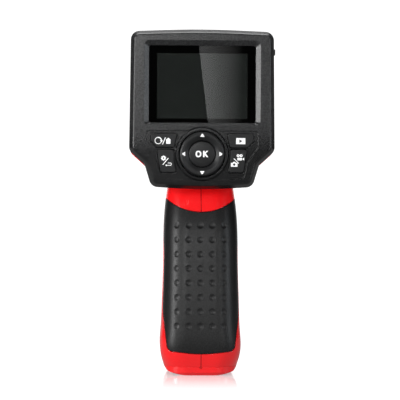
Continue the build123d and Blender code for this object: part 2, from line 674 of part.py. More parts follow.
def build_flap():
    plate_part = block(FLAP_X, FLAP_Y, (FLAP_HINGE_Z, FLAP_TOP_Z))
    outer_edges = plate_part.faces().sort_by(Axis.X)[-1].edges()
    plate_part = chamfer([edge for edge in outer_edges if edge.center().Z > FLAP_HINGE_Z + 1], 0.4)
    middle_x = sum(FLAP_X) / 2
    roll = Pos(middle_x, sum(FLAP_Y) / 2, FLAP_HINGE_Z) * Rot(90, 0, 0) * Cylinder(
        (FLAP_X[1] - FLAP_X[0]) / 2, FLAP_Y[1] - FLAP_Y[0])
    tab = block((FLAP_X[1] - 0.3, 40.5), (-10.8, -3.0), (175.6, 178.9))
    tab = fillet(tab.edges().filter_by(Axis.Y).sort_by(Axis.X)[-2:], 0.5)
    return plate_part + roll + tab


# ---------------------------------------------------------------- fasteners
def screw_x(y, z, seat, tip):
    """A cross-head screw along X with its head on the seat."""
    head = rod_x(2.7, y, z, seat, seat + 2.0)
    slot_x = (seat + 1.1, seat + 3)
    head -= block(slot_x, (y - 0.4, y + 0.4), (z - 1.7, z + 1.7))
    head -= block(slot_x, (y - 1.7, y + 1.7), (z - 0.4, z + 0.4))
    return head + rod_x(1.4, y, z, tip, seat + 0.1)


def build_screws():
    shell = [screw_x(y, z, seat, -9) for y, z, seat in shell_screw_places()]
    board = []
    for x, z in board_screw_places():
        head = rod_y(1.9, x, z, BOARD_FRONT_Y, BOARD_FRONT_Y + 1.3)
        slot_y = (BOARD_FRONT_Y + 0.7, -13)
        head -= block((x - 1.3, x + 1.3), slot_y, (z - 0.25, z + 0.25))
        board.append(head + rod_y(1.0, x, z, -20.0, BOARD_FRONT_Y + 0.1))
    base = []
    for x, y in base_screw_places():
        head = rod_z(1.4, x, y, 2.4, 3.3)
        head -= block((x - 0.9, x + 0.9), (y - 0.2, y + 0.2), (2, 2.8))
        base.append(head + rod_z(0.8, x, y, 3.2, 11))
    return Compound(children=shell), Compound(children=board), Compound(children=base)


# ---------------------------------------------------------------- assembly
def build_all():
    parts = {}
    parts["left_shell"], parts["right_shell"] = build_shells()
    parts["grip_sleeve"] = build_grip()
    parts["rear_bezel"] = build_bezel()
    screen_names = ("screen_lens", "lens_gasket", "lcd_module", "lcd_frame", "lcd_flex")
    parts.update(zip(screen_names, build_screen()))
    parts.update(build_boards())
    upper_key = build_key(True)
    lower_key = build_key(False)
    parts["playback_key"] = upper_key
    parts["rotate_key"] = mirror(upper_key, about=Plane.YZ)
    parts["camera_key"] = lower_key
    parts["settings_key"] = mirror(lower_key, about=Plane.YZ)
    parts["nav_ring"] = build_ring()
    parts["nav_carrier"] = build_carrier()
    parts["ok_button"] = build_ok()
    trigger_names = ("trigger", "trigger_bracket", "trigger_spring", "trigger_switch")
    parts.update(zip(trigger_names, build_trigger()))
    parts.update(zip(("base_cap", "battery_door", "door_hinge_pin"), build_foot()))
    parts.update(build_batteries())
    parts.update(build_nose_parts())
    parts["port_cover"] = build_flap()
    parts.update(zip(("shell_screws", "board_screws", "base_screws"), build_screws()))
    return parts


if __name__ == "__main__":
    os.makedirs("parts", exist_ok=True)
    for name, shape in build_all().items():
        export_step(shape, f"parts/{name}.step")
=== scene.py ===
"""Studio scene of a hand-held inspection camera display unit.

Lengths are in metres in the part's own frame: X is the user's right, Y runs forward from the user,
Z is up, and the object stands on z = 0. The screen faces -Y. The printed symbols' shapes are in
millimetres.
"""

import json
import math

import bmesh
import bpy
from mathutils import Matrix, Quaternion, Vector
from mathutils.bvhtree import BVHTree
from mathutils.interpolate import poly_3d_calc


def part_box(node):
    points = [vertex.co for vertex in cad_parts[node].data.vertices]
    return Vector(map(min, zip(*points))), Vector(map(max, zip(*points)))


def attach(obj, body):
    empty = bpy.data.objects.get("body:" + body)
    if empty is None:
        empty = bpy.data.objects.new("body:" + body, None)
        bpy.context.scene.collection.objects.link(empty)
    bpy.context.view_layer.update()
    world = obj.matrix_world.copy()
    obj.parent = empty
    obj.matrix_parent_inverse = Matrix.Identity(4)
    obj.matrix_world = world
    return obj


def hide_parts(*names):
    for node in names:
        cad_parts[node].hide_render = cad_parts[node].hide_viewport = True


MM = 0.001

# Camera: a long lens almost level with the object, a little to its left
VIEW_FROM = Vector((-0.0315, -0.922, 0.1050))
VIEW_AIM = Vector((-0.0010, -0.022, 0.0958))
VIEW_LENS_MM = 148.9
VIEW_ROLL = math.radians(0.3)

# Dimples moulded into the back of the rubber sleeve, in five columns and eight rows
DIMPLE_RADIUS = 1.9 * MM
DIMPLE_DEPTH = 0.42 * MM
DIMPLE_COLUMN_STEP = 6.45 * MM
DIMPLE_ROW_STEP = 7.8 * MM
DIMPLE_SHIFT = -0.5 * MM            # the middle column from the sleeve's middle
DIMPLE_FIRST_ROW = 15.1 * MM        # above the sleeve's lower end
SMOOTH_ANGLE = math.radians(14)     # edges sharper than this stay sharp

# Painted shade: a dark line on the red plastic where the two shells meet, standing for the shade in
# the gap between them
SEAM_SHADE_CORE = 0.08 * MM            # fully dark this far each side of the middle
SEAM_SHADE_HALF_WIDTH = 0.32 * MM
SEAM_SHADE_START = (4.3 * MM, 4.5 * MM)    # it fades in between these heights, above the foot

# Sparked black plastic and rubber
SPARKED_EDGE_RADIUS = 0.55 * MM     # how far its sharp moulded edges look rounded

# Black bezel: round the keys it is smoother and darker, by these shares of the frame's values
PANEL_EDGE = (0.122, 0.137)         # the change runs between these heights
PANEL_ROUGHNESS = 0.66
PANEL_RELIEF = 0.3
PANEL_FLECKS = 0.20

# Thread in the mouth of the cable socket
THREAD_PITCH = 1.0 * MM
THREAD_LENGTH = 8 * MM
THREAD_RELIEF = 0.22 * MM

# White print on the keys
PRINT_THICKNESS = 0.04 * MM
PRINT_SINK = 0.005 * MM             # its underside lies this far inside the key
ARROW_PLACE_MM = 10.3               # the ring's arrows from its centre
PRINT_SHIFTS_MM = {                 # each key's print from the middle of the key
    "rotate_key": (-0.3, -0.475),
    "settings_key": (-0.605, 0.075),
    "playback_key": (-0.1, -0.425),
    "camera_key": (-0.345, 0.475),
}

# Soft boxes that face the object: place, width and height, power in watts, colour
WHITE = (1.0, 1.0, 1.0)
LIGHT_AIM = (0.0, 0.0, 0.11)
SOFT_BOXES = {
    "left_box": ((-0.72, -0.42, 0.18), (0.20, 0.60), 5.6, WHITE),
    "right_box": ((0.74, -0.36, 0.16), (0.12, 0.60), 1.6, (0.90, 0.95, 1.0)),
    "top_box": ((0.0, 0.10, 0.80), (0.7, 0.5), 7.0, WHITE),
    "key_box": ((-0.135, -1.00, 0.38), (0.15, 0.26), 2.1, WHITE),
    "left_strip": ((-0.46, -0.88, 0.28), (0.12, 0.60), 1.0, WHITE),
    "right_strip": ((0.44, -0.90, 0.28), (0.12, 0.60), 1.2, WHITE),
}
OFF_SCREEN = ("left_box", "right_box")    # seen from the side, the lens would mirror them

# Soft box behind the camera that the screen mirrors
GLARE_SIZE = (0.08, 0.20)
GLARE_EDGE = Vector((0.0355, -1.0, 0.217))    # the middle of its left edge
GLARE_SLANT = math.radians(-7.0)
GLARE_FADE = (0.036, 0.080)         # it dims to nothing between these X

# Room: it lights the object from behind and is dim in front; the camera sees it plain white
ROOM_EDGE = (0.72, 0.95)            # the change, as shares of the way to straight behind
ROOM_DIM = 0.025
ROOM_WHITE = 1.0
SEEN_WHITE = 1.05

# Table: polished near the foot and plain white further out
TABLE_RADIUS = 0.75
TABLE_POLISH = (0.040, 0.105)       # the polish fades out between these distances
TABLE_GLOW = 0.30                   # light it gives off by itself

# Brightness of the whole picture, in stops
EXPOSURE = 0.20


# ---------------------------------------------------------------- node helpers
def new_material(name):
    """A node material and its Principled shader."""
    material = bpy.data.materials.new(name)
    material.use_nodes = True
    return material, material.node_tree.nodes["Principled BSDF"]


def node(material, kind, sockets=None, **settings):
    """Adds a node to a material, world or light, with its settings and input values or links."""
    made = material.node_tree.nodes.new(kind)
    for name, value in settings.items():
        setattr(made, name, value)
    for name, value in (sockets or {}).items():
        feed(material, made.inputs[name], value)
    return made


def feed(material, socket, value):
    """Sets a socket, or links another node's output to it."""
    if isinstance(value, bpy.types.NodeSocket):
        material.node_tree.links.new(value, socket)
    else:
        socket.default_value = value


def set_shader(material, shader, **sockets):
    """Sets the Principled shader's inputs by name, with underscores for spaces."""
    for name, value in sockets.items():
        feed(material, shader.inputs[name.replace("_", " ")], value)


def place_in_object(material):
    """The position in the part's frame, in metres."""
    return node(material, "ShaderNodeTexCoord").outputs["Object"]


def coordinate(material, axis):
    """One coordinate of the surface point in the part's frame, in metres."""
    where = place_in_object(material)
    return node(material, "ShaderNodeSeparateXYZ", {"Vector": where}).outputs[axis]


def times(material, first, second):
    """The product of two values."""
    return node(material, "ShaderNodeMath", {0: first, 1: second}, operation="MULTIPLY").outputs[0]


def noise(material, feature, detail=2.0, roughness=0.5, stretch=(1, 1, 1)):
    """Soft noise from 0 to 1 whose blotches are about one feature across."""
    where = place_in_object(material)
    if tuple(stretch) != (1, 1, 1):
        where = node(material, "ShaderNodeMapping", {"Vector": where, "Scale": stretch}).outputs[0]
    sockets = {"Vector": where, "Scale": 1.0 / feature, "Detail": detail, "Roughness": roughness}
    return node(material, "ShaderNodeTexNoise", sockets).outputs["Fac"]


def spread(material, value, low, high, start=0.3, end=0.7):
    """Maps a value between start and end to the range low to high, and holds it beyond them."""
    sockets = {"Value": value, "From Min": start, "From Max": end, "To Min": low, "To Max": high}
    return node(material, "ShaderNodeMapRange", sockets).outputs["Result"]


def blend_colours(material, amount, first, second):
    """Mixes two colours by a value from 0 to 1."""
    mixer = node(material, "ShaderNodeMix", data_type="RGBA")
    feed(material, mixer.inputs[0], amount)
    feed(material, mixer.inputs[6], (*first, 1.0))
    feed(material, mixer.inputs[7], (*second, 1.0))
    return mixer.outputs[2]


def bump(material, height, depth, under=None):
    """A surface normal raised by height, which runs from 0 to 1, times depth in metres."""
    sockets = {"Height": height, "Distance": depth, "Strength": 1.0}
    made = node(material, "ShaderNodeBump", sockets)
    if under is not None:
        feed(material, made.inputs["Normal"], under)
    return made.outputs["Normal"]


def soft_edges(material, radius):
    """A surface normal that rounds sharp moulded edges by radius."""
    return node(material, "ShaderNodeBevel", {"Radius": radius}, samples=4).outputs["Normal"]


def shades(colour, change):
    """A darker and a lighter version of a colour."""
    darker = tuple(channel * (1 - change) for channel in colour)
    lighter = tuple(min(1.0, channel * (1 + change)) for channel in colour)
    return darker, lighter


# ---------------------------------------------------------------- materials
def moulded_plastic(name, colour, roughness, grain, grain_depth, blotch=18 * MM, change=0.12,
                    edge=0.15 * MM, gloss_change=0.12, shaded_seam=False, **shader_values):
    """Injection-moulded plastic: fine surface grain and slightly uneven colour and gloss."""
    material, shader = new_material(name)
    darker, lighter = shades(colour, change)
    uneven = noise(material, blotch, detail=3.0)
    fine = noise(material, grain, detail=1.5)
    gloss = spread(material, fine, roughness * (1 - gloss_change), roughness * (1 + gloss_change))
    normal = bump(material, fine, grain_depth, soft_edges(material, edge))
    tint = blend_colours(material, spread(material, uneven, 0.0, 1.0), darker, lighter)
    set_shader(material, shader, Base_Color=tint, Roughness=gloss, Normal=normal, **shader_values)
    # painted shade along the seam where the two shells meet
    if shaded_seam:
        paint_seam_shade(material, shader)
    return material


def paint_seam_shade(material, shader):
    """Darkens a shell material along the middle plane, where its two halves meet: painted shade
    standing for the gap between them.
    """
    side = coordinate(material, "X")
    aside = node(material, "ShaderNodeMath", {0: side}, operation="ABSOLUTE").outputs[0]
    line = spread(material, aside, 0.75, 0.0, SEAM_SHADE_CORE, SEAM_SHADE_HALF_WIDTH)
    above = spread(material, coordinate(material, "Z"), 0.0, 1.0, *SEAM_SHADE_START)
    tint = shader.inputs["Base Color"].links[0].from_socket
    darker = node(material, "ShaderNodeMix", data_type="RGBA")
    feed(material, darker.inputs[0], times(material, line, above))
    feed(material, darker.inputs[6], tint)
    # colour of the painted seam shade
    feed(material, darker.inputs[7], (0.25, 0.0, 0.0, 1.0))
    feed(material, shader.inputs["Base Color"], darker.outputs[2])


def speckled_plastic(name, colour, fleck, roughness, grain, grain_depth, smooth_panel=False,
                     **shader_values):
    """Sparked black plastic or rubber: a mottled grain whose tops are paler than its pits."""
    material, shader = new_material(name)
    coarse = noise(material, grain, detail=2.5, roughness=0.6)
    fine = noise(material, grain * 0.4, detail=1.0)
    uneven = noise(material, 22 * MM, detail=2.0)
    tops = spread(material, coarse, 0.0, 1.0, 0.38, 0.66)
    gloss = spread(material, fine, roughness * 0.85, roughness * 1.15)
    if smooth_panel:
        height = coordinate(material, "Z")
        tops = times(material, tops, spread(material, height, PANEL_FLECKS, 1.0, *PANEL_EDGE))
        gloss = times(material, gloss, spread(material, height, PANEL_ROUGHNESS, 1.0, *PANEL_EDGE))
        coarse = times(material, coarse, spread(material, height, PANEL_RELIEF, 1.0, *PANEL_EDGE))
    shade = blend_colours(
        material, spread(material, uneven, 0.0, 1.0), (0.82, 0.82, 0.82), (1.0, 1.0, 1.0))
    tint = node(material, "ShaderNodeMix", data_type="RGBA", blend_type="MULTIPLY")
    feed(material, tint.inputs[0], 1.0)
    feed(material, tint.inputs[6], blend_colours(material, tops, colour, fleck))
    feed(material, tint.inputs[7], shade)
    normal = bump(material, coarse, grain_depth, soft_edges(material, SPARKED_EDGE_RADIUS))
    normal = bump(material, fine, grain_depth * 0.3, normal)
    set_shader(material, shader, Base_Color=tint.outputs[2], Roughness=gloss, Normal=normal,
               **shader_values)
    return material


def rolled_metal(name, colour, roughness, stretch=(1, 12, 12), line=0.35 * MM):
    """Bare metal with drawn or turned marks along one direction."""
    material, shader = new_material(name)
    marks = noise(material, line, detail=3.0, stretch=stretch)
    dull = noise(material, 6 * MM, detail=3.0)
    darker, lighter = shades(colour, 0.15)
    tint = blend_colours(material, spread(material, dull, 0.0, 1.0), darker, lighter)
    gloss = spread(material, marks, roughness * 0.7, roughness * 1.3)
    normal = bump(material, marks, 0.004 * MM)
    set_shader(material, shader, Base_Color=tint, Roughness=gloss, Normal=normal, Metallic=1.0)
    return material


def circuit_board_material():
    """Green solder mask over copper tracks."""
    material, shader = new_material("circuit_board")
    where = place_in_object(material)
    sockets = {"Vector": where, "Scale": 330.0, "Mortar Size": 0.09, "Brick Width": 0.9}
    sockets["Row Height"] = 0.35
    sockets["Color1"] = (0.010, 0.085, 0.035, 1)
    sockets["Color2"] = (0.012, 0.11, 0.045, 1)
    sockets["Mortar"] = (0.03, 0.19, 0.07, 1)
    tracks = node(material, "ShaderNodeTexBrick", sockets)
    normal = bump(material, tracks.outputs["Fac"], 0.03 * MM)
    set_shader(material, shader, Base_Color=tracks.outputs["Color"], Roughness=0.32, Normal=normal)
    return material


def lens_material():
    """Clear acrylic with a faint, uneven green tint."""
    material, shader = new_material("clear_lens")
    tint = blend_colours(material, noise(material, 25 * MM), (0.93, 0.95, 0.94), (0.95, 0.97, 0.96))
    set_shader(material, shader, Base_Color=tint, Roughness=0.0, Transmission_Weight=1.0, IOR=1.49)
    return material


def lcd_material():
    """An unlit display: near black with a faint, slightly cloudy green cast.

    No lamp light comes through the clear lens in a render, so a faint emission stands for it.
    """
    material, shader = new_material("lcd_glass")
    cloud = spread(material, noise(material, 40 * MM, detail=2.0), 0.0, 1.0)
    tint = blend_colours(material, cloud, (0.0100, 0.0113, 0.0106), (0.0118, 0.0134, 0.0124))
    set_shader(material, shader, Base_Color=tint, Roughness=0.5, Specular_IOR_Level=0.0,
               Emission_Color=tint, Emission_Strength=0.8)
    material.cycles.emission_sampling = "NONE"
    return material


def cell_material():
    """A battery cell's printed jacket: dark sleeve with a plain copper-coloured end band."""
    material, shader = new_material("cell_jacket")
    low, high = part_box("battery_cell_1")
    edge = low.z + 0.72 * (high.z - low.z)
    band = spread(material, coordinate(material, "Z"), 0.0, 1.0, edge, edge + 0.2 * MM)
    tint = blend_colours(material, band, (0.02, 0.022, 0.026), (0.62, 0.27, 0.09))
    wrinkle = bump(material, noise(material, 2.5 * MM, detail=2.0), 0.02 * MM)
    set_shader(material, shader, Base_Color=tint, Roughness=0.28, Normal=wrinkle)
    return material


def threaded_metal():
    """Nickel-plated metal with the thread's turns near its mouth."""
    material, shader = new_material("connector_metal")
    depth = coordinate(material, "Y")
    turns = times(material, depth, math.tau / THREAD_PITCH)
    wave = node(material, "ShaderNodeMath", {0: turns}, operation="SINE").outputs[0]
    height = spread(material, wave, 0.0, 1.0, -1.0, 1.0)
    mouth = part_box("connector_barrel")[1].y
    start = mouth - THREAD_LENGTH
    in_thread = spread(material, depth, 0.0, 1.0, start, start + 0.2 * MM)
    cut = times(material, height, in_thread)
    marks = noise(material, 0.4 * MM, detail=2.0, stretch=(1, 14, 1))
    normal = bump(material, cut, THREAD_RELIEF, bump(material, marks, 0.004 * MM))
    tint = blend_colours(material, spread(material, marks, 0.0, 1.0), (0.50, 0.50, 0.49),
                         (0.62, 0.61, 0.59))
    set_shader(material, shader, Base_Color=tint, Roughness=0.3, Normal=normal, Metallic=1.0)
    return material


def print_material():
    """White pad-printed ink, a little uneven where it is thin, with a faint painted glow that keeps
    it bright white.
    """
    material, shader = new_material("white_print")
    thin = spread(material, noise(material, 0.5 * MM, detail=2.0), 0.0, 1.0)
    tint = blend_colours(material, thin, (0.86, 0.86, 0.86), (0.97, 0.97, 0.97))
    # painted glow: a faint emission keeps the ink bright white
    set_shader(material, shader, Base_Color=tint, Roughness=0.5, Emission_Color=(1, 1, 1, 1),
               Emission_Strength=0.15)
    material.cycles.emission_sampling = "NONE"
    return material


def make_materials():
    """Every material of the record's slots, by slot name."""
    return {
        # the red shells get painted shade along the seam where they meet
        "red_plastic": moulded_plastic(
            "red_plastic", (0.97, 0.008, 0.011), 0.26, 1.6 * MM, 0.0008 * MM, change=0.03,
            edge=0.3 * MM, gloss_change=0.04, shaded_seam=True,
            Specular_IOR_Level=0.5, Coat_Weight=0.25, Coat_Roughness=0.12),
        "black_plastic": speckled_plastic(
            "black_plastic", (0.004, 0.0042, 0.0045), (0.031, 0.0315, 0.0325), 0.33, 0.9 * MM,
            0.024 * MM, smooth_panel=True, Specular_IOR_Level=0.44),
        "key_plastic": moulded_plastic(
            "key_plastic", (0.007, 0.0073, 0.0078), 0.42, 0.45 * MM, 0.005 * MM, edge=0.4 * MM,
            Specular_IOR_Level=0.32),
        "trigger_plastic": moulded_plastic(
            "trigger_plastic", (0.02, 0.021, 0.022), 0.38, 0.5 * MM, 0.015 * MM),
        "black_rubber": speckled_plastic(
            "black_rubber", (0.004, 0.0041, 0.0042), (0.014, 0.0141, 0.0143), 0.40, 0.8 * MM,
            0.014 * MM, Specular_IOR_Level=0.34),
        "clear_lens": lens_material(),
        "lcd_glass": lcd_material(),
        "sheet_steel": rolled_metal("sheet_steel", (0.58, 0.58, 0.57), 0.3),
        "flex_film": moulded_plastic(
            "flex_film", (0.55, 0.22, 0.03), 0.35, 1.2 * MM, 0.02 * MM, change=0.2),
        "circuit_board": circuit_board_material(),
        "chip_plastic": moulded_plastic(
            "chip_plastic", (0.018, 0.018, 0.019), 0.6, 0.2 * MM, 0.01 * MM),
        "gold_contacts": rolled_metal("gold_contacts", (0.83, 0.58, 0.22), 0.25),
        "key_rubber": moulded_plastic(
            "key_rubber", (0.33, 0.34, 0.35), 0.65, 0.4 * MM, 0.01 * MM),
        "spacer_brass": rolled_metal("spacer_brass", (0.70, 0.50, 0.20), 0.3),
        "screw_steel": rolled_metal("screw_steel", (0.42, 0.42, 0.43), 0.32),
        "spring_steel": rolled_metal("spring_steel", (0.60, 0.60, 0.60), 0.22),
        "cell_jacket": cell_material(),
        "red_wire": moulded_plastic("red_wire", (0.6, 0.01, 0.01), 0.4, 0.8 * MM, 0.02 * MM),
        "black_wire": moulded_plastic("black_wire", (0.02, 0.02, 0.02), 0.4, 0.8 * MM, 0.02 * MM),
        "connector_metal": threaded_metal(),
    }


def paint_nodes(materials):
    """Gives each CAD node the material of its slot in the record."""
    for entry in frame["record"]["subparts"]:
        mesh = frame["nodes"][entry["node"]].data
        mesh.materials.clear()
        mesh.materials.append(materials[entry["material_slot"]])


# ---------------------------------------------------------------- mesh helpers
def mesh_object(name, builder, material, body):
    """Turns a bmesh into an object with a material and a slot, riding on a body."""
    mesh = bpy.data.meshes.new(name)
    builder.to_mesh(mesh)
    builder.free()
    mesh.materials.append(material)
    made = bpy.data.objects.new(name, mesh)
    bpy.context.scene.collection.objects.link(made)
    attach(made, body)
    return made


def surface_of(node_name):
    """A search tree over a CAD node's faces."""
    mesh = frame["nodes"][node_name].data
    points = [vertex.co.copy() for vertex in mesh.vertices]
    faces = [list(polygon.vertices) for polygon in mesh.polygons]
    return BVHTree.FromPolygons(points, faces)


def seen_from_rear(surface, x, z):
    """The point and outward normal of the surface where a line from the user's side meets it."""
    point, normal, _, _ = surface.ray_cast(Vector((x, -0.2, z)), Vector((0, 1, 0)))
    if normal.y > 0:
        normal = -normal
    return point, normal


# ---------------------------------------------------------------- grip
def add_dimple_cutter(builder, centre, normal):
    """A coin with a domed underside that presses one dimple into the surface."""
    radius = (DIMPLE_RADIUS ** 2 + DIMPLE_DEPTH ** 2) / (2 * DIMPLE_DEPTH)
    rim_rise = 0.6 * MM
    turn = normal.to_track_quat("Z", "Y").to_matrix()
    rings = []
    for share in (0.35, 0.6, 0.8, 0.93, 1.0, 1.12):
        reach = DIMPLE_RADIUS * share
        height = radius - math.sqrt(radius ** 2 - reach ** 2) - DIMPLE_DEPTH
        rings.append((reach, height))
    rings.append((rings[-1][0], rim_rise))
    count = 28
    bottom = builder.verts.new(centre + turn @ Vector((0, 0, -DIMPLE_DEPTH)))
    previous = None
    for reach, height in rings:
        ring = []
        for index in range(count):
            angle = math.tau * index / count
            offset = Vector((reach * math.cos(angle), reach * math.sin(angle), height))
            ring.append(builder.verts.new(centre + turn @ offset))
        for index in range(count):
            after = (index + 1) % count
            if previous is None:
                builder.faces.new((bottom, ring[after], ring[index]))
            else:
                builder.faces.new((previous[index], previous[after], ring[after], ring[index]))
        previous = ring
    builder.faces.new(previous)


def build_grip(material):
    """The rubber sleeve with its rows of moulded dimples."""
    source = frame["nodes"]["grip_sleeve"]
    surface = surface_of("grip_sleeve")
    low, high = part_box("grip_sleeve")
    middle = (low.x + high.x) / 2 + DIMPLE_SHIFT
    cutter_mesh = bmesh.new()
    for row in range(8):
        for column in range(-2, 3):
            x = middle + column * DIMPLE_COLUMN_STEP
            z = low.z + DIMPLE_FIRST_ROW + row * DIMPLE_ROW_STEP
            point, normal = seen_from_rear(surface, x, z)
            add_dimple_cutter(cutter_mesh, point, normal)
    bmesh.ops.recalc_face_normals(cutter_mesh, faces=cutter_mesh.faces)
    cutter_data = bpy.data.meshes.new("dimple_cutters")
    cutter_mesh.to_mesh(cutter_data)
    cutter_mesh.free()
    cutter = bpy.data.objects.new("dimple_cutters", cutter_data)
    bpy.context.scene.collection.objects.link(cutter)

    body = bmesh.new()
    body.from_mesh(source.data)
    bmesh.ops.remove_doubles(body, verts=body.verts, dist=0.002 * MM)
    bmesh.ops.recalc_face_normals(body, faces=body.faces)
    grip = mesh_object("rubber_grip", body, material, "housing")
    cut = grip.modifiers.new("dimples", "BOOLEAN")
    cut.operation = "DIFFERENCE"
    cut.solver = "EXACT"
    cut.object = cutter
    bpy.context.view_layer.update()
    shaped = bpy.data.meshes.new_from_object(
        grip.evaluated_get(bpy.context.evaluated_depsgraph_get()))
    grip.modifiers.clear()
    grip.data = shaped
    bpy.data.objects.remove(cutter)
    shaped.shade_smooth()
    shaped.set_sharp_from_angle(angle=SMOOTH_ANGLE)
    keep_cad_normals(shaped, source.data, surface)
    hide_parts("grip_sleeve")


def keep_cad_normals(mesh, source, surface):
    """Gives the faces that the dimples left alone the CAD surface's own smooth normals."""
    normals = [corner.vector.copy() for corner in mesh.corner_normals]
    source_normals = [corner.vector.copy() for corner in source.corner_normals]
    for polygon in mesh.polygons:
        _, _, _, gap = surface.find_nearest(polygon.center)
        if gap > DIMPLE_DEPTH * 0.02:
            continue    # it belongs to a dimple
        for loop in polygon.loop_indices:
            corner = mesh.vertices[mesh.loops[loop].vertex_index].co
            inside = corner.lerp(polygon.center, 0.02)    # so that the right CAD face is nearest
            place, _, index, _ = surface.find_nearest(inside)
            face = source.polygons[index]
            points = [source.vertices[vertex].co for vertex in face.vertices]
            shares = poly_3d_calc(points, place)
            total = Vector((0, 0, 0))
            for share, source_loop in zip(shares, face.loop_indices):
                total += source_normals[source_loop] * share
            normals[loop] = total.normalized()
    mesh.normals_split_custom_set(normals)


# ---------------------------------------------------------------- printed legends
def circle_points(radius, count=28, start=0.0, sweep=math.tau, centre=(0.0, 0.0)):
    """Points along an arc in a legend's own plane, in millimetres."""
    points = []
    for index in range(count + 1):
        angle = start + sweep * index / count
        points.append((centre[0] + radius * math.cos(angle), centre[1] + radius * math.sin(angle)))
    return points


def stroke(points, width):
    """Quads along a line of points, as wide as a pen."""
    left = []
    right = []
    for index, point in enumerate(points):
        before = Vector(points[max(index - 1, 0)])
        after = Vector(points[min(index + 1, len(points) - 1)])
        side = (after - before).normalized().orthogonal() * (width / 2)
        left.append(tuple(Vector(point) + side))
        right.append(tuple(Vector(point) - side))
    return [
        (left[index], left[index + 1], right[index + 1], right[index])
        for index in range(len(points) - 1)
    ]


def between(outer, inner):
    """Quads between two matching closed outlines."""
    count = len(outer)
    return [
        (outer[index], outer[(index + 1) % count], inner[(index + 1) % count], inner[index])
        for index in range(count)
    ]


def moved(shapes, x, z):
    """Shapes shifted in the legend's plane."""
    return [[(x + across, z + up) for across, up in shape] for shape in shapes]


def print_on(name, shapes, node_name, body, centre, material):
    """Prints flat shapes, in millimetres about a centre in metres, onto a node's rear face."""
    surface = surface_of(node_name)
    builder = bmesh.new()
    for shape in shapes:
        corners = [builder.verts.new((centre[0] + x * MM, 0, centre[1] + z * MM)) for x, z in shape]
        builder.faces.new(corners)
    bmesh.ops.triangulate(builder, faces=builder.faces)
    bmesh.ops.subdivide_edges(builder, edges=builder.edges, cuts=2, use_grid_fill=True)
    for vertex in builder.verts:
        point, _ = seen_from_rear(surface, vertex.co.x, vertex.co.z)
        vertex.co.y = point.y + PRINT_SINK
    grown = bmesh.ops.extrude_face_region(builder, geom=builder.faces[:])
    for item in grown["geom"]:
        if isinstance(item, bmesh.types.BMVert):
            item.co.y -= PRINT_THICKNESS
    bmesh.ops.recalc_face_normals(builder, faces=builder.faces)
    return mesh_object(name, builder, material, body)


def letter_o(width, height, pen):
    """A squared-off round letter as quads."""
    outer = []
    inner = []
    for index in range(32):
        angle = math.tau * index / 32
        across = math.copysign(abs(math.cos(angle)) ** 0.85, math.cos(angle))
        up = math.copysign(abs(math.sin(angle)) ** 0.85, math.sin(angle))
        outer.append((width / 2 * across, height / 2 * up))
        inner.append(((width / 2 - pen) * across, (height / 2 - pen * 0.85) * up))
    return between(outer, inner)


def letter_k(width, height, pen):
    """A plain block letter with a stem, an arm and a leg."""
    half = height / 2
    left = -width / 2
    stem = [(left, -half), (left + pen, -half), (left + pen, half), (left, half)]
    arm = [(left + pen, -0.1 * half), (left + pen, 0.42 * half), (width / 2 - pen * 1.1, half),
           (width / 2 + 0.1, half)]
    leg = [(left + pen * 1.5, 0.28 * half), (left + pen * 0.9, -0.2 * half),
           (width / 2 - pen * 1.0, -half), (width / 2 + 0.2, -half)]
    return [stem, arm, leg]


def turning_arrow():
    """An open ring with an arrow head: turn the picture."""
    thin = stroke(circle_points(1.75, 22, math.radians(95), math.radians(245)), 0.36)
    thick = stroke(circle_points(1.72, 10, math.radians(5), math.radians(95)), 0.62)
    head = [(0.85, 0.15), (2.6, 0.15), (1.7, -0.95)]
    return thin + thick + [head]


def house():
    """A small house with a pitched roof."""
    roof = [(-1.45, 0.45), (0.0, 1.7), (1.45, 0.45)]
    walls = [(-1.15, -1.6), (1.15, -1.6), (1.15, 0.45), (-1.15, 0.45)]
    return [roof, walls]


def gear():
    """An eight-toothed wheel with a hole."""
    outer = []
    inner = []
    for index in range(32):
        angle = math.tau * index / 32
        radius = 1.42 if index % 4 < 2 else 1.12
        outer.append((radius * math.cos(angle), radius * math.sin(angle)))
        inner.append((0.45 * math.cos(angle), 0.45 * math.sin(angle)))
    return between(outer, inner)


def slash(width, height):
    """A thin slanted dividing line."""
    return stroke([(-width / 2, -height / 2), (width / 2, height / 2)], 0.42)


def return_arrow():
    """A hooked arrow that points back to the left."""
    bend = circle_points(0.62, 8, -math.pi / 2, math.pi, (1.1, 0.0))
    hook = stroke([(-0.9, -0.62)] + bend + [(-0.3, 0.62)], 0.34)
    head = [(-1.7, -0.62), (-0.8, -1.2), (-0.8, -0.04)]
    return hook + [head]


def play_picture():
    """A filled picture frame with a play triangle left open in it."""
    outer = [(-2.5, -1.65), (-0.4, -1.65), (2.5, -1.65), (2.5, 0.0), (2.5, 1.65), (-0.4, 1.65),
             (-2.5, 1.65), (-2.5, 0.0)]
    inner = [(-0.75, -1.0), (-0.2, -0.67), (0.35, -0.34), (0.95, 0.0), (0.35, 0.34), (-0.2, 0.67),
             (-0.75, 1.0), (-0.75, 0.0)]
    return between(outer, inner)


def stills_camera():
    """A small camera body with its lens left open."""
    outer = [(-1.8, -1.3), (0.0, -1.3), (1.8, -1.3), (1.8, 0.0), (1.8, 0.8), (0.8, 0.85),
             (0.5, 1.35), (-0.5, 1.35), (-0.8, 0.85), (-1.8, 0.8), (-1.8, 0.0)]
    inner = []
    for x, z in outer:
        angle = math.atan2(z + 0.2, x)
        inner.append((0.68 * math.cos(angle), -0.2 + 0.68 * math.sin(angle)))
    return between(outer, inner)


def cine_camera():
    """A moving-picture camera: two reels over a body with a side horn."""
    reels = []
    for x in (-1.15, 0.55):
        reels += between(circle_points(0.8, 16, centre=(x, 1.0))[:-1],
                         circle_points(0.28, 16, centre=(x, 1.0))[:-1])
    box = [(-1.5, -1.6), (0.95, -1.6), (0.95, -0.1), (-1.5, -0.1)]
    horn = [(1.25, -1.0), (2.2, -1.6), (2.2, -0.1), (1.25, -0.6)]
    return reels + [box, horn]


